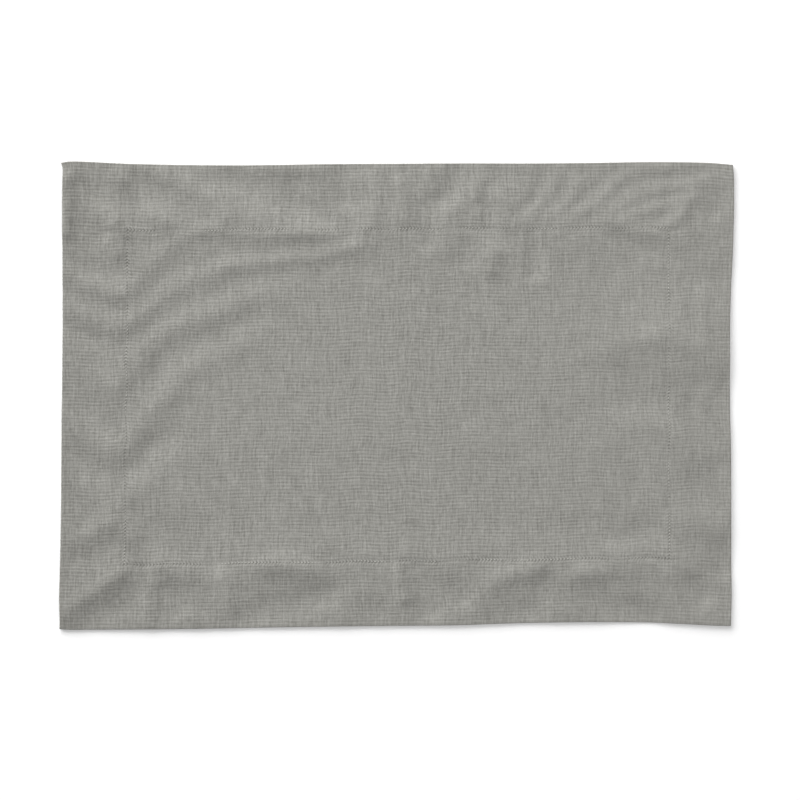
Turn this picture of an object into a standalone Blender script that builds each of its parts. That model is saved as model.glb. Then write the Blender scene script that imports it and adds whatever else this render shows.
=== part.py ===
# Placemat of heavy slub cotton: one rectangle of cloth with a wide mitred hem, lying flat.
# Lengths are in metres, and in millimetres where a name ends in _MM or _mm.
# The origin is the middle of the underside, +X runs along the long side and +Z is up.

import bmesh
import bpy
import numpy as np

MM = 0.001

# Nominal size between the folded edges, and the hem's width from fold to stitch line
MAT_LENGTH_MM = 508.0
MAT_WIDTH_MM = 352.0
HEM_WIDTH_MM = 49.5

# The single cloth of the field, the folded hem, and the width of the soft step between them
FIELD_THICKNESS_MM = 1.4
HEM_THICKNESS_MM = 2.0
SEAM_STEP_MM = 12.0

# The least thickness left under a trough
LEAST_THICKNESS_MM = 0.8

# The folded edge is a half round of this depth, in so many flats
FOLD_DEPTH_MM = 0.8
FOLD_STEPS = 4

# Squares of the top face across one hem, and along and across the field
HEM_SQUARES = 9
FIELD_SQUARES_LONG = 56
FIELD_SQUARES_WIDE = 35

CLOTH_COLOR = (0.305, 0.301, 0.279, 1.0)
CLOTH_ROUGHNESS = 0.92

# How far each folded edge stands out of its straight line, seen from above.
# Columns: place along the edge from its middle, distance out
FAR_EDGE_MM = (
    (-254.0, 0.9),
    (-250.0, 1.6),
    (-244.0, 1.8),
    (-234.0, 1.5),
    (-214.0, 0.4),
    (-190.0, -0.4),
    (-142.0, -1.0),
    (-118.0, -1.1),
    (-94.0, -0.9),
    (-46.0, -0.1),
    (2.0, 0.1),
    (50.0, 0.4),
    (98.0, 0.3),
    (146.0, 0.7),
    (194.0, 1.4),
    (222.0, 1.1),
    (234.0, 0.8),
    (246.0, 0.0),
    (254.0, -0.8),
)
NEAR_EDGE_MM = (
    (-254.0, -0.9),
    (-250.0, -0.5),
    (-244.0, -0.3),
    (-234.0, -0.4),
    (-190.0, -0.6),
    (-142.0, -1.2),
    (-94.0, -2.1),
    (-46.0, -2.8),
    (2.0, -3.4),
    (50.0, -3.9),
    (74.0, -4.8),
    (98.0, -5.5),
    (122.0, -5.9),
    (158.0, -6.1),
    (194.0, -5.7),
    (214.0, -4.8),
    (234.0, -3.8),
    (244.0, -3.4),
    (254.0, -3.2),
)
LEFT_EDGE_MM = (
    (-176.0, 1.2),
    (-171.0, 1.0),
    (-166.0, 1.1),
    (-156.0, 1.5),
    (-136.0, 1.1),
    (-112.0, 0.5),
    (-88.0, 0.1),
    (-40.0, -0.3),
    (8.0, -0.8),
    (56.0, -1.3),
    (104.0, -1.1),
    (156.0, -1.0),
    (166.0, -1.2),
    (171.0, -1.3),
    (176.0, -0.1),
)
RIGHT_EDGE_MM = (
    (-176.0, -2.4),
    (-166.0, -2.2),
    (-156.0, -1.9),
    (-136.0, -2.1),
    (-88.0, -2.3),
    (-40.0, -2.5),
    (-16.0, -3.1),
    (32.0, -3.2),
    (56.0, -3.1),
    (80.0, -2.4),
    (104.0, -1.2),
    (128.0, -0.4),
    (156.0, -0.1),
    (168.0, -0.3),
    (174.0, -0.8),
    (176.0, -1.0),
)

# How far the stitch line lies from its straight place, +X or +Y.
# Columns: at the line's left or near end, at its right or far end
FAR_SEAM_MM = (-1.2, 1.6)
NEAR_SEAM_MM = (-0.9, 5.9)
LEFT_SEAM_MM = (-2.3, 1.9)
RIGHT_SEAM_MM = (0.4, 0.4)

# Soft ridges and troughs of the upper face.
# Columns: name, height (a trough is below zero), half width, points of its crest line
CREASES_MM = (
    # waves from the left edge down to the seam and up again across the field
    ("wave 1", 0.7, 7.0, ((-254, 94), (-225, 81), (-211, 77), (-196, 88), (-176, 110), (-150, 125))),
    ("wave 1, far end", 0.6, 5.5, ((-150, 125), (-110, 122), (-60, 124), (-20, 128))),
    ("wave 2", 0.7, 7.5, ((-254, 68), (-228, 57), (-212, 51), (-196, 59), (-165, 83), (-130, 98))),
    ("wave 2, far end", 0.7, 6.0, ((-130, 98), (-95, 101), (-62, 105), (-35, 113), (-18, 117))),
    ("wave 3", 0.7, 8.5, ((-254, 46), (-235, 19), (-212, 8), (-197, 28), (-168, 54), (-130, 66), (-90, 80))),
    ("wave 4", 0.8, 9.0, ((-254, -14), (-236, -30), (-214, -41), (-192, -20), (-162, 17), (-108, 44))),
    ("wave 6", 0.7, 8.5, ((-250, -112), (-224, -97), (-206, -78))),
    ("wave 6, tail", 0.8, 7.0, ((-212, -96), (-204, -106), (-197, -113))),
    ("trough 2", -0.4, 7.0, ((-246, 52), (-224, 42), (-212, 37))),
    ("trough 3", -0.7, 9.0, ((-246, 14), (-231, -12), (-212, -24))),
    ("trough 4", -0.7, 8.0, ((-244, -40), (-229, -57), (-215, -60))),
    ("field, low swell", 0.8, 12.0, ((-186, -74), (-176, -88), (-160, -76))),
    ("left edge, dip", -0.9, 8.0, ((-246, -72), (-241, -84), (-236, -93))),
    # near hem and corners
    ("mitre ridge, near left", 1.0, 7.5, ((-252, -166), (-230, -148), (-203, -128))),
    ("hollow below the mitre", -0.9, 9.0, ((-230, -166), (-216, -162), (-204, -157), (-201, -146))),
    ("near seam, left swell", 1.0, 8.0, ((-180, -126), (-171, -130), (-160, -133))),
    ("near hem, second swell", 1.2, 8.0, ((-130, -136), (-127, -148), (-125, -158))),
    ("near seam, long swell", 1.1, 8.0, ((-104, -128), (-90, -127), (-76, -129), (-62, -130))),
    ("near hem, long hollow", -0.9, 9.0, ((-112, -164), (-92, -158), (-62, -152), (-50, -147))),
    ("near hem, sharp fold", 1.2, 6.0, ((0, -132), (2, -142), (6, -152))),
    ("beside the sharp fold", -0.9, 7.0, ((16, -130), (20, -146), (26, -160))),
    ("near hem, right swell", 1.0, 9.0, ((64, -152), (70, -143), (82, -136), (110, -128))),
    ("near seam, right swell", 0.8, 7.0, ((130, -138), (156, -131), (167, -122))),
    ("near hem, right hollow", -0.9, 9.0, ((148, -150), (160, -158), (190, -166))),
    ("near right corner, swell", 0.8, 7.0, ((206, -118), (213, -124), (220, -132))),
    # right side
    ("right field, arch", 0.6, 9.0, ((152, 34), (164, 41), (198, 50), (214, 47), (246, 30))),
    ("right field, near swell", 0.5, 13.0, ((172, -18), (192, -20), (206, -24), (218, -32))),
    ("right hem, hollow", -0.5, 9.0, ((230, 12), (244, 6))),
    # far hem, left to right
    ("far left corner, edge fold", 1.1, 6.0, ((-250, 164), (-249, 142), (-250, 124))),
    ("far left corner, hollow", -0.8, 7.0, ((-240, 160), (-230, 153))),
    ("far left, round swell", 1.2, 8.0, ((-219, 138), (-213, 131), (-210, 124))),
    ("far seam, swell", 1.0, 7.5, ((-182, 138), (-176, 132), (-170, 130))),
    ("far hem, long slant", 0.9, 8.0, ((-190, 172), (-154, 156), (-138, 147), (-130, 136))),
    ("far hem, first hollow", -0.9, 8.0, ((-138, 164), (-122, 164), (-112, 157))),
    ("far hem, deep hollow", -0.9, 7.0, ((-79, 160), (-77, 150), (-70, 142), (-48, 130))),
    ("far hem, wide hollow", -0.9, 9.0, ((-40, 168), (-38, 150))),
    ("far hem, upright swell", 0.7, 7.0, ((-14, 168), (-14, 150), (-24, 124))),
    ("far hem, second upright swell", 0.8, 6.0, ((1, 160), (4, 146), (6, 134))),
    ("far hem, round hollow", -0.9, 8.0, ((44, 168), (41, 157), (32, 149))),
    ("far hem, round swell", 0.8, 7.0, ((76, 150), (84, 147))),
    ("field, swell in the middle", 1.1, 7.0, ((72, 108), (72, 96))),
    ("fan 1", 0.3, 6.0, ((100, 137), (113, 151), (124, 170))),
    ("fan 2", 0.3, 6.0, ((133, 136), (150, 146), (168, 164))),
    ("fan 3", 0.3, 6.0, ((158, 139), (174, 149), (198, 157), (222, 163))),
    ("fan 4", 0.3, 6.0, ((168, 133), (192, 141), (222, 151))),
    ("hook in the far right corner", 0.7, 5.0, ((215, 146), (213, 138), (207, 132))),
    ("far right seam, ridge", 0.5, 5.5, ((158, 131), (178, 127), (212, 119))),
)


def smooth_curve(at, table):
    """Height of a soft curve through a table's two columns, at one place along it."""
    along, out = np.array(table).T
    slope = np.gradient(out, along)
    left = int(np.clip(np.searchsorted(along, at) - 1, 0, len(along) - 2))
    width = along[left + 1] - along[left]
    t = (at - along[left]) / width
    rise = out[left + 1] - out[left]
    start = slope[left] * width
    end = slope[left + 1] * width
    return out[left] + start * t + (3 * rise - 2 * start - end) * t**2 + (start + end - 2 * rise) * t**3


def shifted(along, across, length, width, low_edge, high_edge, low_seam, high_seam):
    """Where a point of the even mat lies on the uneven one, along one axis.

    The shift is the edges' own at the two folds and the seams' own at the two stitch lines.
    """
    share = 0.5 + across / width
    shift_low_seam = low_seam[0] + (low_seam[1] - low_seam[0]) * share
    shift_high_seam = high_seam[0] + (high_seam[1] - high_seam[0]) * share
    shifts = (-smooth_curve(across, low_edge), shift_low_seam, shift_high_seam, smooth_curve(across, high_edge))
    seam = length / 2 - HEM_WIDTH_MM
    return along + np.interp(along, (-length / 2, -seam, seam, length / 2), shifts)


def placed(x, y):
    """Plan position on the uneven mat of a point of the even one, in millimetres."""
    new_x = shifted(x, y, MAT_LENGTH_MM, MAT_WIDTH_MM, LEFT_EDGE_MM, RIGHT_EDGE_MM, LEFT_SEAM_MM, RIGHT_SEAM_MM)
    new_y = shifted(y, x, MAT_WIDTH_MM, MAT_LENGTH_MM, NEAR_EDGE_MM, FAR_EDGE_MM, NEAR_SEAM_MM, FAR_SEAM_MM)
    return new_x, new_y


def crease_height(x, y, height, half_width, points):
    """Rise of one crease at a plan position: a soft round section along its crest line."""
    spot = np.array((x, y))
    nearest = np.inf
    for start, end in zip(points[:-1], points[1:]):
        start = np.array(start, dtype=float)
        run = np.array(end) - start
        share = np.clip(np.dot(spot - start, run) / np.dot(run, run), 0.0, 1.0)
        nearest = min(nearest, np.linalg.norm(spot - start - share * run))
    return height * np.exp(-((nearest / half_width) ** 2))


def cloth_thickness(x, y, new_x, new_y):
    """Height of the upper face above the table, in millimetres."""
    past_seam = max(abs(x) - MAT_LENGTH_MM / 2, abs(y) - MAT_WIDTH_MM / 2) + HEM_WIDTH_MM
    step = np.clip(0.5 + past_seam / SEAM_STEP_MM, 0.0, 1.0)
    soft_step = step * step * (3 - 2 * step)
    flat = FIELD_THICKNESS_MM + (HEM_THICKNESS_MM - FIELD_THICKNESS_MM) * soft_step
    creases = sum(crease_height(new_x, new_y, *row[1:]) for row in CREASES_MM)
    return max(flat + creases, LEAST_THICKNESS_MM)


def grid_lines(length, squares):
    """Places of the top face's grid lines along one axis, closer in the hems than in the field."""
    edge = length / 2 - FOLD_DEPTH_MM
    seam = length / 2 - HEM_WIDTH_MM
    hem = np.linspace(seam, edge, HEM_SQUARES + 1)
    return np.concatenate((-hem[:0:-1], np.linspace(-seam, seam, squares + 1), hem[1:]))


def even_slab(mesh):
    """Even slab with half-round edges. A vertex's z is its share of the cloth's thickness there."""
    lines_x = grid_lines(MAT_LENGTH_MM, FIELD_SQUARES_LONG)
    lines_y = grid_lines(MAT_WIDTH_MM, FIELD_SQUARES_WIDE)
    squares_x = len(lines_x) - 1
    squares_y = len(lines_y) - 1
    bmesh.ops.create_grid(mesh, x_segments=squares_x, y_segments=squares_y, size=0.5)
    for vertex in mesh.verts:
        column = round((vertex.co.x + 0.5) * squares_x)
        row = round((vertex.co.y + 0.5) * squares_y)
        vertex.co = (lines_x[column], lines_y[row], 1.0)

    half_x = MAT_LENGTH_MM / 2
    half_y = MAT_WIDTH_MM / 2
    inset = FOLD_DEPTH_MM
    rim = [edge for edge in mesh.edges if edge.is_boundary]
    for step in range(1, FOLD_STEPS + 1):
        angle = np.pi * step / FOLD_STEPS
        new_inset = FOLD_DEPTH_MM * (1 - np.sin(angle))
        ring = bmesh.ops.extrude_edge_only(mesh, edges=rim)["geom"]
        for vertex in (item for item in ring if isinstance(item, bmesh.types.BMVert)):
            vertex.co.x *= (half_x - new_inset) / (half_x - inset)
            vertex.co.y *= (half_y - new_inset) / (half_y - inset)
            vertex.co.z = (1 + np.cos(angle)) / 2
        rim = [item for item in ring if isinstance(item, bmesh.types.BMEdge) and item.is_boundary]
        inset = new_inset
    bmesh.ops.contextual_create(mesh, geom=rim)
    bmesh.ops.recalc_face_normals(mesh, faces=mesh.faces)


def make_placemat():
    mesh = bmesh.new()
    even_slab(mesh)
    for vertex in mesh.verts:
        x, y, share = vertex.co
        new_x, new_y = placed(x, y)
        vertex.co = (new_x, new_y, share * cloth_thickness(x, y, new_x, new_y))

    # the uneven outline's box is centred on the origin
    corners = np.array([vertex.co for vertex in mesh.verts])
    middle = (corners.min(axis=0) + corners.max(axis=0)) / 2
    bmesh.ops.translate(mesh, verts=mesh.verts, vec=(-middle[0], -middle[1], 0.0))
    bmesh.ops.scale(mesh, verts=mesh.verts, vec=(MM, MM, MM))

    data = bpy.data.meshes.new("placemat")
    mesh.to_mesh(data)
    mesh.free()
    data.shade_smooth()
    placemat = bpy.data.objects.new("placemat", data)
    bpy.context.collection.objects.link(placemat)
    return placemat


def make_cloth_material():
    material = bpy.data.materials.new("slub cotton")
    material.use_nodes = True
    shader = material.node_tree.nodes["Principled BSDF"]
    shader.inputs["Base Color"].default_value = CLOTH_COLOR
    shader.inputs["Roughness"].default_value = CLOTH_ROUGHNESS
    shader.inputs["Metallic"].default_value = 0.0
    return material


for old in list(bpy.data.objects):
    bpy.data.objects.remove(old, do_unlink=True)
make_placemat().data.materials.append(make_cloth_material())
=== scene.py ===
import math

import bmesh
import bpy
import numpy as np
from mathutils import Matrix, Vector, noise


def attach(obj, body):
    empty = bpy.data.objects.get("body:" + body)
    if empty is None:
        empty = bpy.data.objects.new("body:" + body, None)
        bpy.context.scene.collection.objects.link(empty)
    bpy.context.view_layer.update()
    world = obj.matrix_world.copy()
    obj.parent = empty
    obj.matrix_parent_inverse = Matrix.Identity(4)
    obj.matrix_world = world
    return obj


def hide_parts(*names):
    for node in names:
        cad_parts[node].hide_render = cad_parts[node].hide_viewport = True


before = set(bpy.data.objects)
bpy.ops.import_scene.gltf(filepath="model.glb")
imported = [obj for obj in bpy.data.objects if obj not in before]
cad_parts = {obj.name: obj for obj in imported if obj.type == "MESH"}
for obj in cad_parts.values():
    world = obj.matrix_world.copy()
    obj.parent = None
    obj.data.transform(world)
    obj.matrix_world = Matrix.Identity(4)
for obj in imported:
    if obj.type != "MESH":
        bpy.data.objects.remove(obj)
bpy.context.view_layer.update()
print("frame loaded")

mm = 0.001  # lengths below are in millimetres, and go to metres with this

# the mat as it was cut and folded
mat = {
    "length": 508.0,
    "width": 352.0,
    "hem": 49.5,          # folded edge to stitch line
    "turnIn": 10.0,       # raw edge folded in under the hem
    "underlap": 1.5,      # the hem's inner fold lies this far inside the stitch line
    "cloth": 0.42,        # one thickness of cloth
    "air": 0.06,          # between two layers
    "loft": 1.6,          # the unpressed field stands this far off the table
    "hemLoft": 1.3,       # the hem's face off the layers under it, by the stitch line
    "edgeLoft": 1.1,      # and by the folded edge
    "rightLift": 0.5,     # the right edge curls up this much more
    "rollRadius": 0.35,   # the folded edge bulges this far past the flat part of its face
    "stepDown": 30.0,     # the face sinks from the hem to the field over this
    "turnInShows": 0.85,  # the face rises over the turned-in edge by this share of a layer
    "turnInFade": 12.0,   # and sinks again over this
    "turnInLies": 0.9,    # the edge itself lies this share of a layer above the back
    "backFollows": 0.25,  # the back goes up under a ridge by this share of its height
    "firmness": 4.0,      # the higher, the later a trough flattens on what lies under it
    "rumple": 0.18,       # height of the small unevenness everywhere
    "rumpleSize": 13.0,
    "seamDip": 0.12,      # the stitches pull the face down this much
    "seamLift": 0.3,      # and the back up
    "seamWidth": 1.6,
    "pucker": 0.1,        # small ripples across the stitch line
    "puckerReach": 7.0,
    "puckerPitch": 7.0,
    "wander": 0.5,        # the stitch line strays this far either way
    "fieldSquares": (144, 88),
    "hemSquares": 20,
    "foldSteps": 6,
    "backSquares": 9,
    "turnInSquares": 4,
    "seamLines": (-6.0, -4.2, -2.8, -1.5, 0.0, 1.5),  # closer lines of the mesh by the stitch line
    "edgeLines": (3.6, 2.6, 1.7, 0.9, 0.3, 0.0),      # and in from the roll of the folded edge
}

# how far each folded edge stands out of its straight line: (place along it, distance out)
edges = {
    "far": (
        (-254, 0.9), (-250, 1.6), (-244, 1.8), (-234, 1.5), (-214, 0.4), (-190, -0.4), (-142, -1.0),
        (-118, -1.1), (-94, -0.9), (-46, -0.1), (2, 0.1), (50, 0.4), (98, 0.3), (146, 0.7), (194, 1.4),
        (222, 1.1), (234, 0.8), (246, 0.0), (254, -0.8),
    ),
    "near": (
        (-254, -0.9), (-250, -0.5), (-244, -0.3), (-234, -0.4), (-190, -0.6), (-142, -1.2), (-94, -2.1),
        (-46, -2.8), (2, -3.4), (50, -3.9), (74, -4.8), (98, -5.5), (122, -5.9), (158, -6.1),
        (194, -5.7), (214, -4.8), (234, -3.8), (244, -3.4), (254, -3.2),
    ),
    "left": (
        (-176, 1.2), (-171, 1.0), (-166, 1.1), (-156, 1.5), (-136, 1.1), (-112, 0.5), (-88, 0.1),
        (-40, -0.3), (8, -0.8), (56, -1.3), (104, -1.1), (156, -1.0), (166, -1.2), (171, -1.3),
        (176, -0.1),
    ),
    "right": (
        (-176, -2.4), (-166, -2.2), (-156, -1.9), (-136, -2.1), (-88, -2.3), (-40, -2.5), (-16, -3.1),
        (32, -3.2), (56, -3.1), (80, -2.4), (104, -1.2), (128, -0.4), (156, -0.1), (168, -0.3),
        (174, -0.8), (176, -1.0),
    ),
}

# how far each stitch line lies off its straight place, at its left or near end and at the other
seams = {"far": (-1.2, 1.6), "near": (-0.9, 5.9), "left": (-2.3, 1.9), "right": (0.4, 0.4)}

# soft ridges and troughs: name, half width, and (x, y, height) along the crest
creases = (
    # waves that run down from the left edge to the seam and up again across the field
    ("wave 1", 7.0,
     ((-254, 94, 0.6), (-240, 86, 0.75), (-225, 81, 0.85), (-213, 77, 0.85), (-205, 79, 0.7),
      (-196, 88, 0.6), (-186, 98, 0.6), (-176, 110, 0.6), (-165, 118, 0.5), (-150, 125, 0.4))),
    ("wave 1, far end", 5.5,
     ((-150, 125, 0.6), (-130, 126, 0.6), (-110, 122, 0.6), (-90, 122, 0.75), (-60, 124, 0.75),
      (-40, 125, 0.4), (-20, 128, 0.25))),
    ("trough 1", 6.0,
     ((-250, 82, -0.25), (-236, 74, -0.4), (-224, 70, -0.4), (-212, 66, -0.4), (-203, 67, -0.25),
      (-196, 72, -0.15), (-186, 81, -0.15), (-176, 92, -0.15), (-166, 101, -0.15), (-154, 108, -0.15))),
    ("trough 1, far end", 5.0,
     ((-150, 115, -0.1), (-138, 117, -0.15), (-120, 113, -0.1), (-100, 110, -0.1), (-80, 113, -0.1),
      (-55, 114, -0.1), (-40, 119, -0.1))),
    ("wave 2", 7.5,
     ((-254, 68, 0.6), (-240, 62, 0.85), (-228, 57, 0.85), (-214, 51, 0.75), (-205, 53, 0.7),
      (-196, 59, 0.6), (-186, 67, 0.6), (-176, 76, 0.6), (-165, 83, 0.7), (-152, 90, 0.7),
      (-130, 98, 0.6))),
    ("wave 2, far end", 5.5,
     ((-130, 98, 0.75), (-112, 100, 0.95), (-95, 101, 0.75), (-80, 104, 0.75), (-62, 105, 0.7),
      (-48, 108, 0.7), (-35, 113, 0.7), (-18, 117, 0.5))),
    ("trough 2", 7.0,
     ((-246, 52, -0.5), (-236, 46, -0.75), (-224, 42, -0.5), (-212, 37, -0.35), (-204, 42, -0.35),
      (-196, 48, -0.35), (-184, 56, -0.35), (-175, 63, -0.35), (-164, 69, -0.35), (-152, 72, -0.35),
      (-108, 90, -0.35), (-85, 93, -0.35))),
    ("wave 3", 8.5,
     ((-254, 46, 0.5), (-244, 30, 0.7), (-235, 19, 0.75), (-224, 11, 0.75), (-212, 8, 0.85),
      (-204, 17, 0.5), (-197, 28, 0.6), (-188, 37, 0.7), (-178, 46, 0.7), (-168, 54, 0.7),
      (-155, 57, 0.7), (-130, 66, 0.6), (-108, 77, 0.6), (-90, 80, 0.4))),
    ("trough 3", 9.0,
     ((-246, 14, -0.35), (-240, -2, -0.85), (-231, -12, -1), (-221, -23, -0.95), (-212, -24, -0.6),
      (-203, -10, -0.5), (-193, 8, -0.7), (-183, 15, -0.7), (-173, 29, -0.5), (-163, 38, -0.7),
      (-152, 40, -0.5), (-108, 60, -0.4))),
    ("wave 4", 9.0,
     ((-254, -14, 0.7), (-245, -23, 0.75), (-236, -30, 0.75), (-226, -36, 0.75), (-214, -41, 0.75),
      (-206, -38, 0.75), (-199, -29, 0.75), (-192, -20, 0.75), (-185, -11, 0.75), (-177, -5, 0.75),
      (-170, 5, 0.75), (-162, 17, 0.75), (-152, 22, 0.75), (-130, 34, 0.5), (-108, 44, 0.4))),
    ("trough 4", 8.0,
     ((-244, -40, -0.6), (-236, -48, -1), (-229, -57, -0.75), (-215, -60, -0.25), (-204, -56, -0.5),
      (-196, -50, -0.85), (-187, -38, -0.7), (-176, -32, -0.7), (-166, -24, -0.35), (-158, -8, -0.25))),
    ("wave 5", 9.0, ((-236, -67, 0.5), (-229, -74, 0.4))),
    ("field below wave 4", 12.0, ((-188, -68, 0.6), (-176, -54, 0.6), (-160, -44, 0.6))),
    ("field, low swell", 13.0, ((-186, -74, 0.75), (-176, -88, 1), (-160, -76, 0.4))),
    ("left edge, dip", 8.0, ((-246, -72, -1.3), (-241, -84, -1.8), (-236, -93, -1.3))),
    ("wave 6", 8.5,
     ((-250, -112, 0.25), (-236, -106, 0.4), (-224, -97, 0.75), (-214, -88, 0.85), (-206, -78, 0.6))),
    ("wave 6, tail", 7.0, ((-212, -96, 0.75), (-204, -106, 1.2), (-197, -113, 0.6))),
    ("dip above the mitre", 8.0, ((-240, -120, -0.7), (-228, -120, -0.75), (-216, -113, -0.75))),
    # near left corner
    ("mitre ridge, near left", 7.5,
     ((-252, -166, 0.7), (-241, -155, 1.1), (-230, -148, 1.1), (-219, -141, 1.2), (-210, -134, 1.1),
      (-203, -128, 0.6))),
    ("hollow below the mitre", 9.0,
     ((-230, -166, -0.95), (-216, -162, -1), (-204, -157, -1.3), (-201, -146, -0.95))),
    ("near hem, upright fold", 5.5, ((-187, -170, 0.75), (-187, -156, 0.85), (-186, -143, 0.7))),
    ("near hem, first hollow", 8.0, ((-171, -148, -1), (-168, -160, -1.2))),
    ("swell on the near seam", 8.0, ((-180, -126, 1.1), (-171, -130, 1.35), (-160, -133, 0.75))),
    ("dip in the field's corner", 6.0, ((-193, -112, -0.75), (-190, -126, -0.75))),
    ("near hem, small fold", 6.0, ((-158, -166, 0.7), (-150, -170, 0.5))),
    ("dip near the left hem", 7.0, ((-152, -116, -0.7), (-144, -126, -0.6))),
    ("near hem, second swell", 8.0, ((-130, -136, 1.45), (-127, -148, 1.95), (-125, -158, 1.35))),
    # near hem, left to right
    ("near seam, long swell", 8.0,
     ((-104, -128, 1), (-90, -127, 1.8), (-76, -129, 1.55), (-62, -130, 0.75))),
    ("near hem, long hollow", 9.0,
     ((-112, -164, -0.75), (-92, -158, -1.35), (-76, -157, -1.45), (-62, -152, -1.35),
      (-50, -147, -1))),
    ("near hem, small swell", 6.5, ((-50, -162, 0.5), (-42, -168, 0.6))),
    ("near hem, mild swell", 9.0, ((-36, -148, 0.6), (-24, -146, 0.6))),
    ("near hem, sharp fold", 5.0, ((0, -132, 0.95), (2, -142, 1.85), (6, -152, 2.1))),
    ("beside the sharp fold", 6.5, ((16, -130, -1.45), (20, -146, -1.8), (26, -160, -2.05))),
    ("near hem, round hollow", 7.5, ((43, -145, -0.95), (47, -152, -1.2))),
    ("near hem, low fold", 6.5, ((32, -164, 0.25), (46, -166, 0.4), (54, -163, 0.25))),
    ("near hem, right swell", 9.0,
     ((64, -152, 1.1), (70, -143, 1.2), (82, -136, 1.35), (98, -132, 1.35), (110, -128, 0.85))),
    ("near hem, right hollow", 7.5,
     ((109, -138, -0.7), (112, -150, -0.85), (104, -162, -0.7), (90, -163, -0.7))),
    ("near hem, swell right of the middle", 7.5, ((130, -138, 0.7), (142, -132, 0.85), (156, -131, 0.7))),
    ("near hem, upright swell", 6.0, ((124, -152, 0.1), (125, -164, 0.25))),
    ("near seam, right of the middle", 6.0,
     ((160, -116, 0.85), (167, -122, 1.2), (172, -134, 0.85), (177, -146, 0.5))),
    ("near hem, far right hollow", 9.0,
     ((148, -150, -1.1), (160, -158, -1.55), (176, -162, -1.55), (190, -166, -1.3))),
    ("near right corner, swell", 7.0, ((206, -118, 0.7), (213, -124, 1.1), (220, -132, 0.75))),
    ("near right corner, hollow", 8.0, ((224, -142, -0.75), (230, -150, -1.2))),
    ("near right, edge dip", 8.0, ((244, -118, -1), (246, -130, -1.2))),
    ("near right, low fold", 6.0, ((228, -166, 0.25), (238, -160, 0.25))),
    # right side
    ("right field, far arch", 8.5,
     ((152, 33, 0.3), (164, 39, 0.5), (180, 42, 0.6), (198, 47, 0.7), (212, 45, 0.6), (228, 36, 0.5),
      (244, 27, 0.4))),
    ("right field, wide swell", 28.0, ((170, 38, 1.2), (200, 40, 1.4), (232, 34, 1.1))),
    ("right field, wide hollow", 15.0, ((168, -2, -0.4), (200, -4, -0.45), (242, -8, -0.7))),
    ("right field, low wide swell", 16.0, ((160, -38, 0.5), (190, -42, 0.6), (225, -48, 0.6))),
    ("right field, upper hollow", 13.0, ((160, 96, -0.5), (196, 90, -0.4), (238, 88, -0.6))),
    ("right field, hollow", 12.0, ((162, 14, -0.15), (176, 18, -0.15), (192, 16, -0.15))),
    ("right field, near swell", 11.5,
     ((168, -20, 0.6), (180, -19, 0.85), (192, -21, 1), (206, -25, 1.1), (218, -33, 0.85),
      (230, -42, 0.5))),
    ("right hem, hollow", 9.0, ((230, 12, -0.5), (244, 6, -0.6))),
    ("right hem, second hollow", 8.0, ((226, -62, -0.35), (244, -54, -0.35))),
    ("right field, low hollow", 10.0, ((166, -106, -0.75), (178, -106, -0.95), (192, -101, -0.75))),
    ("right hem, upright fold", 4.5, ((231, 82, 0.6), (231, 60, 0.85), (232, 40, 0.6))),
    ("right hem, second upright fold", 4.5, ((231, 2, 0.5), (231, -20, 0.6))),
    ("right hem, low swell", 10.5, ((216, -93, 0.7), (228, -95, 1), (242, -97, 0.9))),
    # far left corner
    ("far left corner, edge fold", 5.5, ((-250, 164, 1.55), (-249, 142, 1.7), (-250, 124, 1.7))),
    ("far left corner, hollow", 7.0, ((-240, 160, -1), (-230, 153, -0.95))),
    ("far left corner, small swell", 6.0, ((-212, 168, 1.3), (-208, 163, 1.55))),
    ("far left, round swell", 8.0, ((-219, 138, 1.3), (-213, 131, 1.95), (-210, 124, 1.3))),
    ("far left, edge hollow", 7.5, ((-238, 128, -0.75), (-233, 119, -0.7))),
    ("far left, second swell", 6.0, ((-216, 116, 0.85), (-211, 109, 1.2))),
    ("far left, hollow below", 7.0, ((-232, 98, -0.6), (-223, 93, -0.85), (-214, 93, -0.4))),
    ("far hem, upright hollow", 6.5, ((-196, 166, -0.85), (-193, 154, -0.95), (-194, 143, -0.5))),
    ("far seam, swell", 7.5, ((-182, 138, 1.1), (-176, 132, 1.55), (-170, 130, 0.95))),
    ("far seam, dip", 5.5, ((-192, 118, -0.5), (-184, 114, -0.6))),
    ("far hem, long slant", 8.0,
     ((-190, 172, 0.95), (-172, 166, 1.1), (-154, 156, 0.95), (-138, 147, 1.2), (-130, 136, 1.2))),
    ("far hem, first hollow", 8.0, ((-138, 164, -0.85), (-122, 164, -1.55), (-112, 157, -1.35))),
    # far hem, left to right
    ("far edge, low folds", 7.0, ((-104, 172, 0.75), (-90, 173, 1.2), (-76, 172, 0.5), (-60, 172, 1.2))),
    ("far hem, deep hollow", 7.0,
     ((-79, 160, -1.3), (-77, 150, -1.8), (-70, 142, -1.3), (-58, 138, -1), (-48, 130, -0.75),
      (-38, 122, -0.6))),
    ("far seam, long swell", 8.0,
     ((-104, 134, 0.6), (-88, 130, 0.7), (-76, 127, 0.7), (-60, 123, 0.6), (-50, 121, 0.4))),
    ("far hem, wide hollow", 9.0, ((-40, 168, -1.3), (-38, 150, -1.3))),
    ("far hem, upright swell", 7.0,
     ((-14, 168, 0.6), (-14, 150, 0.75), (-18, 134, 0.75), (-24, 124, 0.5))),
    ("far hem, second upright swell", 6.0, ((1, 160, 1.1), (4, 146, 1.2), (6, 134, 0.7))),
    ("far seam, hollow", 7.0, ((20, 142, -1), (20, 130, -1), (22, 118, -1.35))),
    ("far hem, small upright", 6.0, ((24, 168, 1), (26, 158, 0.75))),
    ("far hem, round hollow", 8.0, ((44, 168, -1.2), (41, 157, -1.45), (32, 149, -0.7))),
    ("far hem, slant", 6.0,
     ((50, 148, 0.4), (40, 140, 0.5), (34, 130, 0.35), (35, 118, 0.4), (37, 110, 0.35))),
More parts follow.
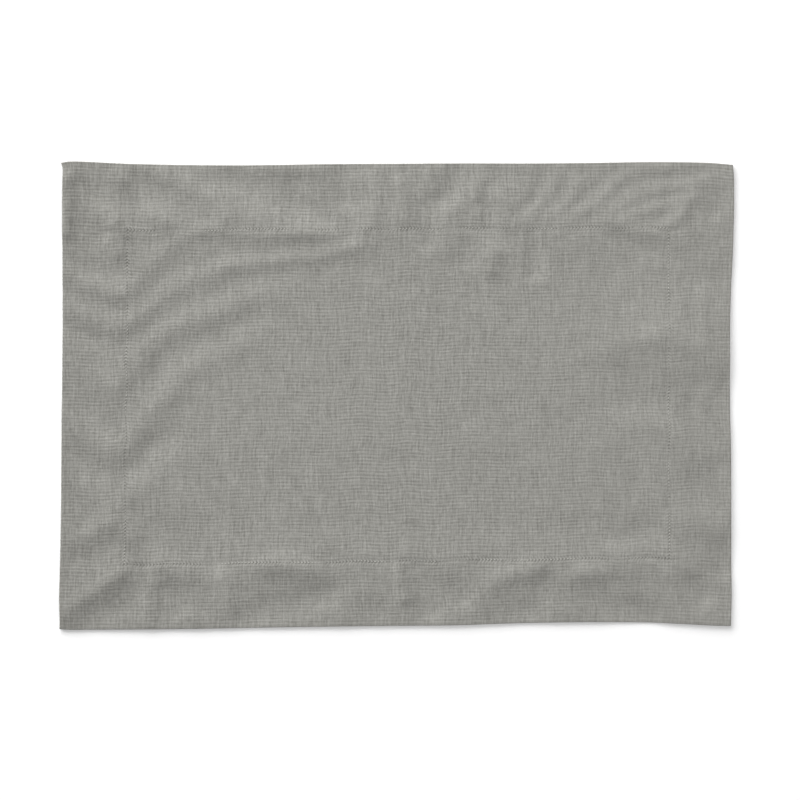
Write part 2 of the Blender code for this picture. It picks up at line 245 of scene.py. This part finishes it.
    ("far hem, short ridge", 5.0, ((61, 162, 0.95), (60, 152, 1.1))),
    ("field, dip in the middle", 5.0, ((52, 114, -0.95), (54, 102, -0.95))),
    ("far hem, bent hollow", 6.5, ((66, 150, -0.4), (70, 138, -0.75), (68, 127, -0.75), (84, 120, -0.7))),
    ("far hem, round swell", 7.0, ((76, 150, 0.95), (84, 147, 0.95))),
    ("far edge, dip", 6.0, ((76, 170, -0.4), (82, 166, -0.4))),
    ("far seam, low swell", 5.5, ((84, 138, 0.25), (92, 133, 0.25))),
    ("field, swell in the middle", 7.0, ((72, 108, 1.55), (72, 96, 1.6))),
    ("field, upright hollow", 6.0, ((101, 122, -0.95), (103, 110, -1.45), (105, 94, -1.45))),
    # the fan of folds towards the far right corner
    ("fan 1", 4.5, ((103, 172, 0.15), (100, 163, 0.25), (97, 154, 0.15))),
    ("fan 1, groove", 4.0,
     ((112, 172, -0.3), (108, 160, -0.5), (104, 151, -0.55), (97, 143, -0.4), (90, 139, -0.3))),
    ("fan 2", 4.0,
     ((124, 174, 0.2), (118, 162, 0.3), (113, 151, 0.3), (107, 143, 0.2), (100, 136, 0.15))),
    ("fan 2, groove", 3.8, ((130, 170, -0.3), (127, 158, -0.3), (119, 148, -0.25), (112, 141, -0.25))),
    ("fan 3", 3.8, ((138, 162, 0.4), (134, 152, 0.3), (126, 144, 0.25), (117, 137, 0.25))),
    ("fan 3, groove", 3.8,
     ((164, 172, -0.35), (152, 160, -0.35), (143, 152, -0.3), (134, 144, -0.3), (124, 137, -0.2))),
    ("fan 4", 3.8,
     ((172, 168, 0.2), (161, 155, 0.25), (151, 147, 0.25), (141, 141, 0.25), (131, 133, 0.2))),
    ("fan 4, groove", 3.8, ((168, 156, -0.2), (160, 147, -0.25), (152, 141, -0.2), (146, 134, -0.15))),
    ("fan 5, groove", 4.5,
     ((168, 156, -0.25), (180, 162, -0.4), (196, 165, -0.4), (214, 167, -0.35), (234, 171, -0.3))),
    ("fan 5", 4.5,
     ((232, 164, 0.15), (214, 159, 0.3), (198, 155, 0.3), (184, 152, 0.3), (174, 147, 0.3), (166, 142, 0.2),
      (158, 136, 0.15))),
    ("fan 6, groove", 3.8, ((206, 153, -0.2), (192, 149, -0.25), (180, 145, -0.25), (168, 139, -0.2))),
    ("fan 6", 4.0,
     ((222, 150, 0.3), (207, 145, 0.4), (192, 141, 0.35), (180, 138, 0.3), (166, 132, 0.2))),
    ("far edge, right fold", 4.0, ((176, 173, 0.25), (200, 173, 0.3), (226, 175, 0.2))),
    ("hook in the far right corner", 4.0,
     ((219, 147, 0.4), (216, 139, 0.6), (210, 132, 0.65), (204, 130, 0.35))),
    ("hollow in the hook", 4.5, ((198, 136, -0.3), (203, 141, -0.35))),
    ("far right corner, hollow", 8.0, ((244, 152, -0.5), (240, 142, -0.7))),
    ("far right corner, swell", 7.0, ((228, 160, 0.35), (224, 153, 0.4))),
    ("far right seam, ridge", 5.5, ((158, 131, 0.4), (178, 127, 0.5), (198, 123, 0.5), (212, 119, 0.35))),
    ("far right seam, groove", 6.5,
     ((164, 121, -0.7), (178, 115, -0.75), (192, 110, -0.7), (208, 102, -0.4))),
)


def hexColor(code):
    channels = [int(code[i:i + 2], 16) / 255 for i in (1, 3, 5)]
    linear = [c / 12.92 if c <= 0.04045 else ((c + 0.055) / 1.055) ** 2.4 for c in channels]
    return (*linear, 1.0)


def addNode(tree, kind, settings=None, values=None, links=None):
    node = tree.nodes.new(kind)
    for name, value in (settings or {}).items():
        setattr(node, name, value)
    for socket, value in (values or {}).items():
        node.inputs[socket].default_value = value
    for socket, source in (links or {}).items():
        tree.links.new(source, node.inputs[socket])
    return node


# where a point of the even, flat mat lies on the real one

def smoothCurve(at, table):
    along, out = np.array(table, dtype=float).T
    slope = np.gradient(out, along)
    left = np.clip(np.searchsorted(along, at) - 1, 0, len(along) - 2)
    width = along[left + 1] - along[left]
    t = np.clip((at - along[left]) / width, 0, 1)
    rise = out[left + 1] - out[left]
    start, end = slope[left] * width, slope[left + 1] * width
    return out[left] + start * t + (3 * rise - 2 * start - end) * t**2 + (start + end - 2 * rise) * t**3


def shifted(along, across, length, width, low, high):
    share = 0.5 + across / width
    lowSeam = seams[low][0] + (seams[low][1] - seams[low][0]) * share
    highSeam = seams[high][0] + (seams[high][1] - seams[high][0]) * share
    lowEdge, highEdge = -smoothCurve(across, edges[low]), smoothCurve(across, edges[high])
    seam = length / 2 - mat["hem"]
    inLow = np.clip((-seam - along) / mat["hem"], 0, 1)
    inHigh = np.clip((along - seam) / mat["hem"], 0, 1)
    inField = np.clip(0.5 + along / (2 * seam), 0, 1)
    wander = mat["wander"] * np.sin(across / 9 + 2 * np.sin(across / 31))
    field = lowSeam + (highSeam - lowSeam) * inField + wander
    return along + field + (lowEdge - field) * inLow + (highEdge - field) * inHigh


def placed(x, y):
    newX = shifted(x, y, mat["length"], mat["width"], "left", "right")
    newY = shifted(y, x, mat["width"], mat["length"], "near", "far")
    return newX, newY


def rounded(points):
    # corner cutting, so that a crest bends softly
    line = np.array(points, dtype=float)
    for _ in range(2):
        before, after = line[:-1], line[1:]
        cut = np.stack((0.75 * before + 0.25 * after, 0.25 * before + 0.75 * after), axis=1).reshape(-1, 3)
        line = np.concatenate((line[:1], cut, line[-1:]))
    return line


def creaseHeight(x, y):
    total = np.zeros_like(x)
    for _, halfWidth, points in creases:
        line = rounded(points)
        reach = 3 * halfWidth
        lowX, lowY = line[:, :2].min(axis=0) - reach
        highX, highY = line[:, :2].max(axis=0) + reach
        close = (x > lowX) & (x < highX) & (y > lowY) & (y < highY)
        nearX, nearY = x[close], y[close]
        nearest = np.full_like(nearX, np.inf)
        height = np.zeros_like(nearX)
        for start, end in zip(line[:-1], line[1:]):
            run = end[:2] - start[:2]
            share = np.clip(((nearX - start[0]) * run[0] + (nearY - start[1]) * run[1]) / (run @ run), 0, 1)
            gap = np.hypot(nearX - start[0] - share * run[0], nearY - start[1] - share * run[1])
            closer = gap < nearest
            nearest = np.where(closer, gap, nearest)
            height = np.where(closer, start[2] + (end[2] - start[2]) * share, height)
        total[close] += height * np.exp(-((nearest / halfWidth) ** 2))
    size = mat["rumpleSize"]
    total += [mat["rumple"] * noise.noise((px / size, py / size, 0)) for px, py in zip(x, y)]
    return total


def smoothStep(t):
    t = np.clip(t, 0, 1)
    return t * t * (3 - 2 * t)


def pastSeam(x, y):
    # distance outside the stitch line of the even mat, below zero in the field
    return np.maximum(np.abs(x) - mat["length"] / 2, np.abs(y) - mat["width"] / 2) + mat["hem"]


def seamPull(x, y):
    # how hard the stitches hold the layers down, 1 on the line
    return np.exp(-((pastSeam(x, y) / mat["seamWidth"]) ** 2))


def puckers(x, y):
    # small ripples across the stitch line, closer together in some places
    alongSeam = np.where(np.abs(x) / mat["length"] > np.abs(y) / mat["width"], y, x)
    drift = 2.0 * np.sin(alongSeam / 23) + 1.3 * np.sin(alongSeam / 9.1)
    phase = 2 * np.pi * alongSeam / mat["puckerPitch"] + drift
    reach = np.exp(-((pastSeam(x, y) / mat["puckerReach"]) ** 2))
    return mat["pucker"] * reach * np.sin(phase)


layer = mat["cloth"] + mat["air"]  # from the middle of one layer to the next


def backHeight(x, y, crease):
    follows = mat["backFollows"] * np.maximum(crease, 0)
    return mat["cloth"] / 2 + follows + mat["seamLift"] * seamPull(x, y)


def turnInHeight(x, y, crease):
    return backHeight(x, y, crease) + layer * mat["turnInLies"]


def faceHeight(x, y, crease):
    out = pastSeam(x, y)
    onHem = smoothStep((out + mat["underlap"] + mat["stepDown"]) / mat["stepDown"])
    overTurnIn = 1 - smoothStep((out - mat["turnIn"]) / mat["turnInFade"])
    layers = layer * onHem * (1 + mat["turnInShows"] * overTurnIn)
    loft = mat["loft"] + (mat["hemLoft"] - mat["loft"]) * onHem
    loft += (mat["edgeLoft"] - mat["hemLoft"]) * np.clip(out / mat["hem"], 0, 1)
    loft += mat["rightLift"] * np.clip(1 - (mat["length"] / 2 - x) / mat["hem"], 0, 1)
    height = loft + crease + puckers(x, y) - mat["seamDip"] * seamPull(x, y)
    # a trough sinks softly onto the table or the layers below, not through them
    return mat["cloth"] / 2 + layers + np.logaddexp(0, height * mat["firmness"]) / mat["firmness"]


print("mat's shape set")


# the sheet: its face, the roll of the fold, the back of the hem and the edge turned in

def gridLines(length, squares):
    half = length / 2
    seam = half - mat["hem"]
    edge = half - mat["rollRadius"]
    bySeam, byEdge = seam + np.array(mat["seamLines"]), edge - np.array(mat["edgeLines"])
    inner = np.linspace(0, bySeam[0] - 2, squares // 2 + 1)
    hem = np.linspace(seam, byEdge[0], mat["hemSquares"] + 1)[1:-1]
    lines = np.concatenate((inner, bySeam, hem, byEdge))
    return np.concatenate((-lines[:0:-1], lines))


def makeSheet():
    linesX = gridLines(mat["length"], mat["fieldSquares"][0])
    linesY = gridLines(mat["width"], mat["fieldSquares"][1])
    sheet = bmesh.new()
    squaresX, squaresY = len(linesX) - 1, len(linesY) - 1
    bmesh.ops.create_grid(sheet, x_segments=squaresX, y_segments=squaresY, size=0.5)
    kind = sheet.verts.layers.float.new("kind")  # 0 face, up to 1 round the fold, 1 back, 2 turned in
    run = sheet.verts.layers.float.new("run")    # cloth past the folded edge
    for vert in sheet.verts:
        column = round((vert.co.x + 0.5) * squaresX)
        row = round((vert.co.y + 0.5) * squaresY)
        vert.co = (linesX[column], linesY[row], 0)

    halfX, halfY = mat["length"] / 2, mat["width"] / 2
    roll, radius = mat["rollRadius"], layer / 2
    rings = []  # inset from the folded edge, kind, cloth past the edge
    for step in range(1, mat["foldSteps"] + 1):
        angle = math.pi * step / mat["foldSteps"]
        rings.append((roll * (1 - math.sin(angle)), (1 - math.cos(angle)) / 2, roll * angle))
    backEnd = mat["hem"] + mat["underlap"]
    for inset in np.linspace(roll, backEnd - radius, mat["backSquares"] + 1)[1:]:
        rings.append((inset, 1.0, inset + (math.pi - 1) * roll))
    for step in range(1, mat["foldSteps"] + 1):
        angle = math.pi * step / mat["foldSteps"]
        reach = backEnd - radius + radius * math.sin(angle)
        rings.append((reach, 1 + (1 - math.cos(angle)) / 2, backEnd + radius * angle))
    for inset in np.linspace(backEnd - radius, backEnd - mat["turnIn"], mat["turnInSquares"] + 1)[1:]:
        rings.append((inset, 2.0, 2 * backEnd - inset))

    inset = roll
    rim = [edge for edge in sheet.edges if edge.is_boundary]
    for newInset, newKind, newRun in rings:
        made = bmesh.ops.extrude_edge_only(sheet, edges=rim)["geom"]
        for vert in (item for item in made if isinstance(item, bmesh.types.BMVert)):
            vert.co.x *= (halfX - newInset) / (halfX - inset)
            vert.co.y *= (halfY - newInset) / (halfY - inset)
            vert[kind] = newKind
            vert[run] = newRun
        rim = [item for item in made if isinstance(item, bmesh.types.BMEdge) and item.is_boundary]
        inset = newInset

    # cloth coordinates in metres: the hem unfolds past the edge, each side on its own
    threads = sheet.loops.layers.uv.new("threads")
    for face in sheet.faces:
        middle = face.calc_center_median()
        onSide = halfX - abs(middle.x) < halfY - abs(middle.y)
        for loop in face.loops:
            x, y, past = loop.vert.co.x, loop.vert.co.y, loop.vert[run]
            if past > 0 and onSide:
                x = math.copysign(halfX + past, x)
            elif past > 0:
                y = math.copysign(halfY + past, y)
            loop[threads].uv = (x * mm, y * mm)

    sheet.normal_update()
    mesh = bpy.data.meshes.new("placematCloth")
    sheet.to_mesh(mesh)
    sheet.free()
    return mesh


def centreShift():
    # the uneven outline's box is centred on the origin, as the solid's is
    halfX, halfY, count = mat["length"] / 2, mat["width"] / 2, 400
    alongX, alongY = np.linspace(-halfX, halfX, count), np.linspace(-halfY, halfY, count)
    left, right = (placed(np.full(count, x), alongY)[0] for x in (-halfX, halfX))
    near, far = (placed(alongX, np.full(count, y))[1] for y in (-halfY, halfY))
    return -(left.min() + right.max()) / 2, -(near.min() + far.max()) / 2


shiftX, shiftY = centreShift()


def settle(mesh):
    # the flat, even sheet takes its outline, layers and creases
    count = len(mesh.vertices)
    flat = np.zeros(count * 3)
    mesh.vertices.foreach_get("co", flat)
    x, y, _ = flat.reshape(-1, 3).T
    kind = np.zeros(count)
    mesh.attributes["kind"].data.foreach_get("value", kind)
    newX, newY = placed(x, y)
    crease = creaseHeight(newX, newY)
    back, face, turnIn = (height(x, y, crease) for height in (backHeight, faceHeight, turnInHeight))
    height = np.where(kind <= 1, face + (back - face) * kind, back + (turnIn - back) * (kind - 1))
    place = np.stack((newX + shiftX, newY + shiftY, height), axis=1) * mm
    mesh.vertices.foreach_set("co", place.ravel())
    mesh.update()


def addPiece(name, mesh, material):
    piece = bpy.data.objects.new(name, mesh)
    bpy.context.scene.collection.objects.link(piece)
    mesh.materials.append(material)
    mesh.shade_smooth()
    return piece


# Plain-woven slub cotton, yarn dyed a warm mid grey and left unpressed. Thick and thin yarns make
# short streaks both ways, ribs of weft show as fine lines, and the matt fibres have a little sheen.
slubCotton = {
    "dark": "#73726D",
    "light": "#9E9D98",
    "ribPitch": 2.65,           # the yarns lie closer than this: drawn as coarse as the eye sees them
    "ribWaver": 0.6,
    "warpPitch": 3.3,
    "warpWaver": 6.0,
    "ribDepth": 0.16,
    "contrast": (1.1, 0.95),    # of the yarns, up to the first place along X and past the second
    "contrastFrom": (90.0, 170.0),
    "leftPaintedShade": (0.06, 0.16),  # painted shade: the left hem is this much darker, in its middle and by its corners
    "paintedShadeFrom": (-245.0, -165.0),
    "cornersFrom": (80.0, 160.0),
    "roughness": 0.93,
    "specular": 0.25,
    "sheen": 0.12,
    "sheenRoughness": 0.5,
    # the needle holes are painted shade: dark dots in the colour, also small dents in the bump
    "holePitch": 2.5,           # needle holes along the seam
    "holeSize": 0.5,
    "holePaintedShade": 0.5,
    # the puckers' light and shade are painted into the colour, and also go to the bump
    "puckerSlant": 0.7,         # the seam's puckers lean this much
    "puckerReach": 5.5,
    "puckerShadingStrength": 0.34,
}


def holePitch(side):
    # an even number of stitches to a side, so that a hole falls on its middle
    length = mat[side] - 2 * mat["hem"]
    return length / (2 * round(length / slubCotton["holePitch"] / 2))


def waveScale(pitch):
    # a Wave texture repeats every 2 pi / 20 of its scaled coordinate
    return 2 * math.pi / 20 / pitch


def makeCotton():
    material = bpy.data.materials.new("slubCotton")
    material.use_nodes = True
    tree = material.node_tree
    shader = tree.nodes["Principled BSDF"]
    cloth = addNode(tree, "ShaderNodeUVMap", {"uv_map": "threads"}).outputs["UV"]
    place = addNode(tree, "ShaderNodeVectorMath", {"operation": "SCALE"}, {"Scale": 1 / mm},
                    {0: cloth}).outputs[0]

    def streaks(wide, long, detail):
        # noise in blotches of that many millimetres along x and y
        scaled = addNode(tree, "ShaderNodeMapping", {"vector_type": "TEXTURE"}, {"Scale": (wide, long, 1)},
                         {"Vector": place})
        blotches = addNode(tree, "ShaderNodeTexNoise", {"noise_dimensions": "2D"},
                           {"Scale": 1.0, "Detail": detail, "Roughness": 0.55},
                           {"Vector": scaled.outputs[0]})
        return blotches.outputs["Fac"]

    def bands(direction, pitch, waver, waverSize):
        values = {"Scale": waveScale(pitch), "Distortion": waver, "Detail": 2.0,
                  "Detail Scale": waverSize, "Detail Roughness": 0.6}
        return addNode(tree, "ShaderNodeTexWave", {"bands_direction": direction}, values,
                       {"Vector": place}).outputs["Fac"]

    def calculate(operation, *terms):
        node = addNode(tree, "ShaderNodeMath", {"operation": operation})
        for socket, term in zip(node.inputs, terms):
            if isinstance(term, (int, float)):
                socket.default_value = term
            else:
                tree.links.new(term, socket)
        return node.outputs[0]

    def mapped(value, low, high, start=0.0, end=1.0):
        return addNode(tree, "ShaderNodeMapRange", {},
                       {"From Min": low, "From Max": high, "To Min": start, "To Max": end},
                       {"Value": value}).outputs[0]

    ribs = bands("Y", slubCotton["ribPitch"], slubCotton["ribWaver"], 0.6)
    warp = bands("X", slubCotton["warpPitch"], slubCotton["warpWaver"], 0.8)
    # the ribs fade out and come back in short patches
    patches = mapped(streaks(16.0, 3.6, 1.0), 0.25, 0.7, 0.25, 1.0)
    brokenRibs = calculate("MULTIPLY", calculate("SUBTRACT", ribs, 0.5), patches)

    # the seam's needle holes and the small slanting puckers between them, for either pair of sides: painted
    # shade in the holes, painted light and shade over the puckers, both also in the bump
    axes = addNode(tree, "ShaderNodeSeparateXYZ", {}, {}, {0: place}).outputs
    holeGaps, puckerLevels = [], []
    sidePairs = (("X", "Y", "length", "width"), ("Y", "X", "width", "length"))
    for across, along, acrossSide, alongSide in sidePairs:
        out = calculate("ABSOLUTE", axes[across])
        offSeam = calculate("ABSOLUTE", calculate("SUBTRACT", out, mat[acrossSide] / 2 - mat["hem"]))
        slanted = calculate("MULTIPLY_ADD", offSeam, slubCotton["puckerSlant"], axes[along])
        toHole = calculate("PINGPONG", slanted, holePitch(alongSide) / 2)
        seamEnd = mat[alongSide] / 2 - mat["hem"] + slubCotton["holeSize"]
        past = calculate("SUBTRACT", calculate("ABSOLUTE", axes[along]), seamEnd)
        beyond = calculate("MAXIMUM", past, 0.0)
        gaps = []
        for parts in ({0: offSeam, 1: beyond}, {0: offSeam, 1: beyond, 2: toHole}):
            gap = addNode(tree, "ShaderNodeCombineXYZ", {}, {}, parts).outputs[0]
            gaps.append(addNode(tree, "ShaderNodeVectorMath", {"operation": "LENGTH"}, {}, {0: gap}))
        lineGap, holeGap = (gap.outputs["Value"] for gap in gaps)
        holeGaps.append(holeGap)
        fade = mapped(lineGap, 0.4, slubCotton["puckerReach"], 1.0, 0.0)
        wave = calculate("SUBTRACT", toHole, holePitch(alongSide) / 4)
        puckerLevels.append(calculate("MULTIPLY", wave, fade))
    seamPatches = mapped(streaks(11.0, 11.0, 1.0), 0.38, 0.6)
    # painted shade in the needle holes, patchy along the seam
    size = slubCotton["holeSize"]
    holes = mapped(calculate("MINIMUM", *holeGaps), 0.6 * size, 1.6 * size, 1.0, 0.0)
    paintedHoleShade = calculate("MULTIPLY", holes, seamPatches)
    # painted light and shade over the seam's puckers
    puckerShading = calculate("MULTIPLY", calculate("ADD", *puckerLevels), seamPatches)

    # each with its strength and its middle value; the streaks' sizes are along x and y
    layers = (
        (brokenRibs, 0.36, 0.0),
        (warp, 0.1, 0.5),
        (streaks(4.5, 38.0, 2.0), 0.27, 0.5),
        (streaks(42.0, 4.0, 2.0), 0.14, 0.5),
        (streaks(9.0, 1.05, 1.0), 0.42, 0.5),
        (streaks(2.2, 2.2, 1.0), 0.12, 0.5),
        (streaks(1.1, 4.5, 1.0), 0.55, 0.5),
        (streaks(1.2, 18.0, 1.0), 0.55, 0.5),
        (streaks(45.0, 35.0, 2.0), 0.1, 0.5),
        (puckerShading, slubCotton["puckerShadingStrength"], 0.0),
        (paintedHoleShade, -slubCotton["holePaintedShade"], 0.0),
    )
    level = -sum(strength * middle for _, strength, middle in layers)
    for texture, strength, _ in layers:
        level = calculate("MULTIPLY_ADD", texture, strength, level)
    # the yarns are calmer in the right part
    contrast = mapped(axes["X"], *slubCotton["contrastFrom"], *slubCotton["contrast"])
    level = calculate("MULTIPLY_ADD", level, contrast, 0.5)
    # painted shade: the cloth is drawn darker by the left edge, most near the corners
    byLeftEdge = mapped(axes["X"], *slubCotton["paintedShadeFrom"], 1.0, 0.0)
    paintedShade = mapped(calculate("ABSOLUTE", axes["Y"]), *slubCotton["cornersFrom"], *slubCotton["leftPaintedShade"])
    level = calculate("SUBTRACT", level, calculate("MULTIPLY", byLeftEdge, paintedShade))
    shades = {6: hexColor(slubCotton["dark"]), 7: hexColor(slubCotton["light"])}
    color = addNode(tree, "ShaderNodeMix", {"data_type": "RGBA", "clamp_factor": True}, shades, {0: level})
    bump = addNode(tree, "ShaderNodeBump", {}, {"Strength": 1.0, "Distance": slubCotton["ribDepth"] * mm},
                   {"Height": level})
    tree.links.new(color.outputs[2], shader.inputs["Base Color"])
    tree.links.new(bump.outputs[0], shader.inputs["Normal"])
    shader.inputs["Roughness"].default_value = slubCotton["roughness"]
    shader.inputs["Specular IOR Level"].default_value = slubCotton["specular"]
    shader.inputs["Sheen Weight"].default_value = slubCotton["sheen"]
    shader.inputs["Sheen Roughness"].default_value = slubCotton["sheenRoughness"]
    return material


cotton = makeCotton()
clothMesh = makeSheet()
settle(clothMesh)
placemat = addPiece("placematCloth", clothMesh, cotton)
thickness = placemat.modifiers.new("thickness", "SOLIDIFY")
thickness.thickness = mat["cloth"] * mm
thickness.offset = 0.0
print("cloth made:", len(clothMesh.polygons), "faces")


# the lockstitch seam, one thread above and one below
stitching = {
    "thread": 0.42,       # thickness of the sewing thread
    "length": 1.8,        # the part of each stitch that shows
    "sides": 6,
    "sections": 5,
    "arch": 0.55,         # its middle stands up by this share of the thread's radius
    "dive": 1.9,          # and its ends go down from there by this many
    "sink": 0.45,         # in places the thread sinks into the cloth this far
    "clear": 0.8,         # the lower thread's middle stays this many threads off the table
}


def seamPlaces():
    # middles of the stitches round the even mat's stitch line, and the way the seam runs there
    seamX, seamY = mat["length"] / 2 - mat["hem"], mat["width"] / 2 - mat["hem"]
    corners = [Vector(c) for c in ((-seamX, -seamY), (seamX, -seamY), (seamX, seamY), (-seamX, seamY))]
    middles, ways = [], []
    for number, (start, end) in enumerate(zip(corners, corners[1:] + corners[:1])):
        count = round((end - start).length / holePitch(("length", "width")[number % 2]))
        middles += [start.lerp(end, (k + 0.5) / count) for k in range(count)]
        ways += [(end - start).normalized()] * count
    return np.array(middles).T, np.array(ways).T


def oneStitch():
    # a short arch of thread whose ends dive into the cloth
    stitch = bmesh.new()
    radius = stitching["thread"] / 2
    made = bmesh.ops.create_circle(stitch, segments=stitching["sides"], radius=radius)["verts"]
    bmesh.ops.rotate(stitch, verts=made, matrix=Matrix.Rotation(math.pi / 2, 3, "Y"))
    half = stitching["length"] / 2
    bmesh.ops.translate(stitch, verts=made, vec=(-half, 0, 0))
    rim, sections = stitch.edges[:], stitching["sections"]
    for _ in range(sections):
        made = bmesh.ops.extrude_edge_only(stitch, edges=rim)["geom"]
        verts = [item for item in made if isinstance(item, bmesh.types.BMVert)]
        rim = [item for item in made if isinstance(item, bmesh.types.BMEdge) and item.is_boundary]
        bmesh.ops.translate(stitch, verts=verts, vec=(2 * half / sections, 0, 0))
    for vert in stitch.verts:
        share = vert.co.x / half
        vert.co.z += radius * (stitching["arch"] - stitching["dive"] * share**4)
    openEnds = [edge for edge in stitch.edges if edge.is_boundary]
    bmesh.ops.holes_fill(stitch, edges=openEnds, sides=stitching["sides"])
    bmesh.ops.recalc_face_normals(stitch, faces=stitch.faces)
    mesh = bpy.data.meshes.new("oneStitch")
    stitch.to_mesh(mesh)
    stitch.free()
    return mesh


def makeStitches(name, above, material):
    pattern = oneStitch()
    count = len(pattern.vertices)
    (x, y), (wayX, wayY) = seamPlaces()
    newX, newY = placed(x, y)
    aheadX, aheadY = placed(x + wayX, y + wayY)
    turns = np.arctan2(aheadY - newY, aheadX - newX)
    crease = creaseHeight(newX, newY)
    if above:
        number = np.arange(len(x))
        sunk = 0.5 + 0.5 * np.sin(number / 11 + 1.7 * np.sin(number / 4.3))
        heights = faceHeight(x, y, crease) + mat["cloth"] / 2 - stitching["sink"] * sunk
    else:
        lowest = stitching["clear"] * stitching["thread"]
        heights = np.maximum(backHeight(x, y, crease) - mat["cloth"] / 2, lowest)
    flip = 1 if above else -1
    seam = bmesh.new()
    for turn, middle in zip(turns, np.stack((newX + shiftX, newY + shiftY, heights), axis=1)):
        seam.from_mesh(pattern)
        seam.verts.ensure_lookup_table()
        matrix = Matrix.Translation(Vector(middle) * mm) @ Matrix.Rotation(turn, 4, "Z")
        matrix = matrix @ Matrix.Diagonal((mm, mm * flip, mm * flip, 1))
        bmesh.ops.transform(seam, matrix=matrix, verts=seam.verts[-count:])
    mesh = bpy.data.meshes.new(name)
    seam.to_mesh(mesh)
    seam.free()
    return addPiece(name, mesh, material)


# Cotton sewing thread, two-ply and mercerised, a shade lighter than the cloth and a little smoother
sewingThread = {"color": "#A7A6A0", "roughness": 0.7}


def makeThread():
    material = bpy.data.materials.new("sewingThread")
    material.use_nodes = True
    shader = material.node_tree.nodes["Principled BSDF"]
    shader.inputs["Base Color"].default_value = hexColor(sewingThread["color"])
    shader.inputs["Roughness"].default_value = sewingThread["roughness"]
    return material


threadMaterial = makeThread()
topStitches = makeStitches("stitchesAbove", True, threadMaterial)
backStitches = makeStitches("stitchesBelow", False, threadMaterial)
print("seam stitched")

for piece in (placemat, topStitches, backStitches):
    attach(piece, "root")
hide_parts("placemat")


# white ground, a wide soft light from the far left and a weaker one overhead
studio = {
    "pixel": 0.756,             # millimetres to one pixel of the picture
    "frameSize": 800,
    "middle": (396.5, 395.6),   # the mat's middle in the picture
    "lens": 85.0,
    "sensor": 36.0,
    "keyPower": 575.0,          # watts; distances and sizes of the lights are in metres
    "keyTurn": 122.0,           # degrees from +X
    "keyRise": 19.0,
    "keyDistance": 5.0,
    "keySize": (6.5, 3.3),
    "topPower": 59.5,
    "topHeight": 4.0,
    "topRight": 1.6,
    "topSize": 1.6,
    "world": 0.294,
    "ground": "#FAFAFA",
    "groundReach": 5.0,
}


def makeFloor():
    ground = bmesh.new()
    bmesh.ops.create_grid(ground, x_segments=1, y_segments=1, size=studio["groundReach"])
    mesh = bpy.data.meshes.new("floor")
    ground.to_mesh(mesh)
    ground.free()
    material = bpy.data.materials.new("whitePaper")  # matt paper sweep, no texture at this distance
    material.use_nodes = True
    shader = material.node_tree.nodes["Principled BSDF"]
    shader.inputs["Base Color"].default_value = hexColor(studio["ground"])
    shader.inputs["Roughness"].default_value = 0.95
    shader.inputs["Specular IOR Level"].default_value = 0.0
    floor = addPiece("floor", mesh, material)


def addLight(name, place, power, size):
    light = bpy.data.lights.new(name, "AREA")
    light.shape = "RECTANGLE"
    light.size, light.size_y = size
    light.energy = power
    lamp = bpy.data.objects.new(name, light)
    bpy.context.scene.collection.objects.link(lamp)
    lamp.location = place
    lamp.rotation_euler = (-Vector(place)).to_track_quat("-Z", "Y").to_euler()
    lamp.visible_camera = False


def makeStudio():
    scene = bpy.context.scene
    makeFloor()
    turn, rise = math.radians(studio["keyTurn"]), math.radians(studio["keyRise"])
    away = Vector((math.cos(turn) * math.cos(rise), math.sin(turn) * math.cos(rise), math.sin(rise)))
    addLight("key", away * studio["keyDistance"], studio["keyPower"], studio["keySize"])
    addLight("overhead", (studio["topRight"], 0, studio["topHeight"]), studio["topPower"],
             (studio["topSize"], studio["topSize"]))
    world = bpy.data.worlds.new("studio")
    world.use_nodes = True
    world.node_tree.nodes["Background"].inputs["Color"].default_value = (1, 1, 1, 1)
    world.node_tree.nodes["Background"].inputs["Strength"].default_value = studio["world"]
    scene.world = world
    scene.view_settings.view_transform = "Standard"

    camera = bpy.data.cameras.new("camera")
    camera.lens, camera.sensor_width = studio["lens"], studio["sensor"]
    eye = bpy.data.objects.new("camera", camera)
    scene.collection.objects.link(eye)
    across = studio["frameSize"] * studio["pixel"] * mm
    middleX, middleY = (studio["frameSize"] / 2 - m for m in studio["middle"])
    eye.location = (middleX * studio["pixel"] * mm, -middleY * studio["pixel"] * mm,
                    across * studio["lens"] / studio["sensor"])
    scene.camera = eye


makeStudio()
print("studio set")
